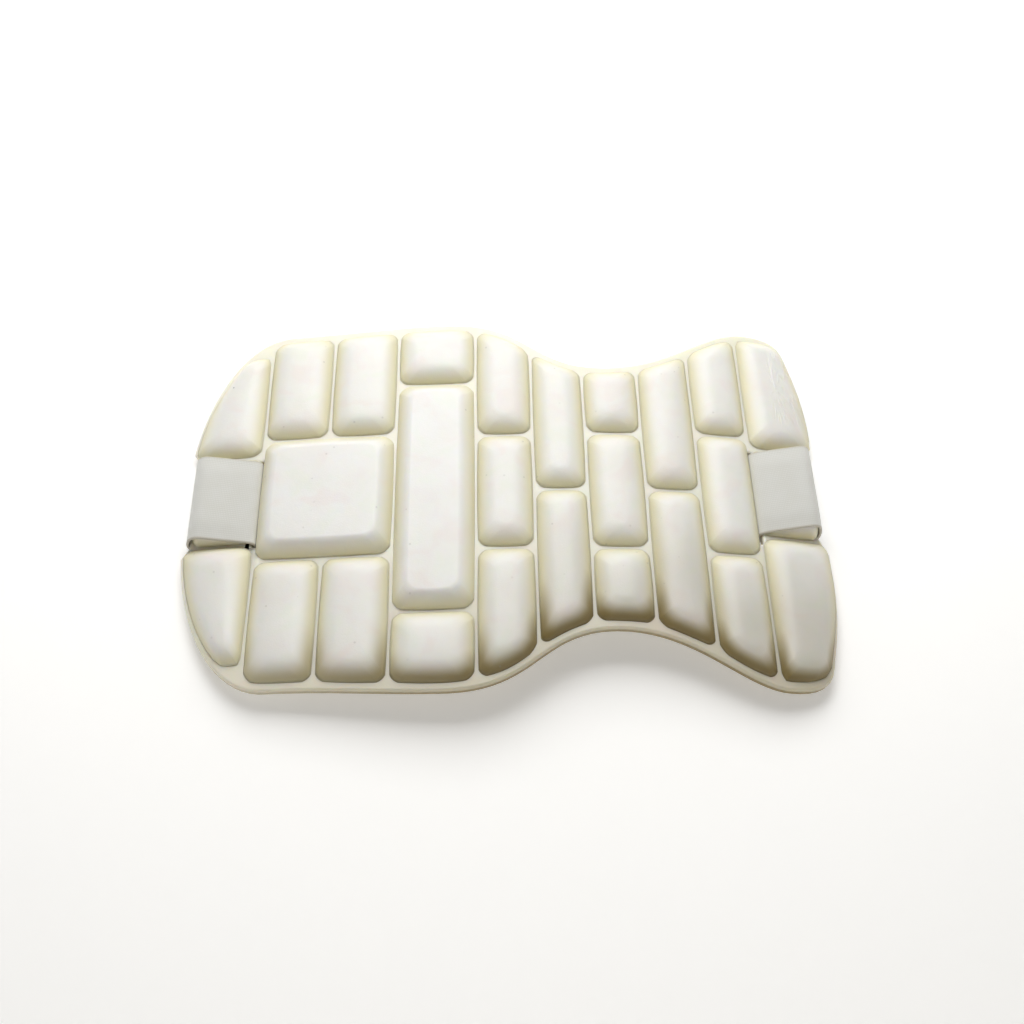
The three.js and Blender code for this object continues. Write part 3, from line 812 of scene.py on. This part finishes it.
# %% [markdown]
# ## Floor and light
# The guard lies on a plain pale floor that curves up into a pale wall all round, like a photographer's cove, so
# that no horizon shows. One large soft lamp hangs over its far side. A weak, slightly warm lamp on the near side
# and the faint glow of the cove open the shade, so the near walls of the pads turn warm rather than grey.

# %% Cove, lamps and surround
COVE_FLAT, COVE_ROUND, COVE_TOP = 1.2, 0.4, 0.9
COVE_BOW_STEPS, COVE_SIDES = 12, 96
FLOOR_GLOW, WALL_GLOW = 0.27, 0.32


def cove_material():
    material, tree, shader = new_material("pale cove")
    place = put(tree, "ShaderNodeTexCoord").outputs["Object"]
    height = put(tree, "ShaderNodeSeparateXYZ", Vector=place).outputs["Z"]
    glow = remap(tree, height, 0.0, COVE_ROUND, FLOOR_GLOW, WALL_GLOW)
    tree.links.new(glow, shader.inputs["Emission Strength"])
    shader.inputs["Emission Color"].default_value = (1.0, 1.0, 1.0, 1)
    shader.inputs["Base Color"].default_value = (0.97, 0.97, 0.965, 1)
    shader.inputs["Roughness"].default_value = 0.9
    material.cycles.emission_sampling = "NONE"
    return material


def pale_cove():
    bm = bmesh.new()
    turns = [math.pi / 2 * i / COVE_BOW_STEPS for i in range(COVE_BOW_STEPS + 1)]
    bow = [(COVE_FLAT + COVE_ROUND * math.sin(turn), COVE_ROUND * (1 - math.cos(turn))) for turn in turns]
    verts = [bm.verts.new((x, 0, z)) for x, z in [(0, 0), *bow, (COVE_FLAT + COVE_ROUND, COVE_TOP)]]
    edges = [bm.edges.new(pair) for pair in zip(verts, verts[1:])]
    bmesh.ops.spin(bm, geom=verts + edges, cent=(0, 0, 0), axis=(0, 0, 1), angle=2 * math.pi, steps=COVE_SIDES,
                   use_merge=True)
    bmesh.ops.remove_doubles(bm, verts=bm.verts, dist=1e-5)
    for face in bm.faces:
        face.smooth = True
    mesh = bpy.data.meshes.new("cove")
    bm.to_mesh(mesh)
    bm.free()
    mesh.materials.append(cove_material())
    cove = bpy.data.objects.new("cove", mesh)
    bpy.context.scene.collection.objects.link(cove)
    return cove


def soft_lamp(name, place, size, power, colour):
    """A square lamp that shines at the middle of the guard."""
    data = bpy.data.lights.new(name, "AREA")
    data.size, data.energy, data.color = size, power, colour
    lamp = bpy.data.objects.new(name, data)
    lamp.location = place
    lamp.rotation_euler = (-Vector(place)).to_track_quat("-Z", "Y").to_euler()
    bpy.context.scene.collection.objects.link(lamp)
    return lamp


cove = pale_cove()
lamps = [
    soft_lamp("key lamp", place=(-0.02, 0.42, 0.52), size=0.6, power=4.8, colour=(1.0, 0.995, 0.985)),
    soft_lamp("fill lamp", place=(0.05, -0.75, 0.35), size=0.6, power=0.5, colour=(1.0, 0.91, 0.75)),
]
world = bpy.data.worlds.new("surround")
world.use_nodes = True
surround = world.node_tree.nodes["Background"]
surround.inputs["Color"].default_value = (1.0, 0.87, 0.62, 1)
surround.inputs["Strength"].default_value = 0.05
bpy.context.scene.world = world
bpy.context.scene.view_settings.view_transform = "Standard"
print("cove:", len(cove.data.polygons), "faces, lamps:", [(lamp.name, round(lamp.data.energy, 2)) for lamp in lamps])

# %% [markdown]
# ## Camera
# The photograph was taken from in front and well above, with the camera turned a couple of degrees. Its place
# was found from the guard's own symmetry: points that mirror each other have to stay so in the picture.

# %% Camera at the photograph's place
CAMERA_PLACE, CAMERA_AIM = Vector((-14.7, -321.1, 512.6)), Vector((2.6, -0.7, 0.0))
CAMERA_ROLL, CAMERA_LENS = math.radians(2.44), 44.75
camera = bpy.data.objects.new("camera", bpy.data.cameras.new("camera"))
camera.data.lens = CAMERA_LENS
camera.data.clip_start = 0.01
camera.location = CAMERA_PLACE * MM
camera.rotation_mode = "QUATERNION"
look = (CAMERA_AIM - CAMERA_PLACE).to_track_quat("-Z", "Y")
camera.rotation_quaternion = look @ Quaternion((0, 0, 1), CAMERA_ROLL)
bpy.context.scene.collection.objects.link(camera)
bpy.context.scene.camera = camera
print("camera at", [round(c, 3) for c in camera.location])
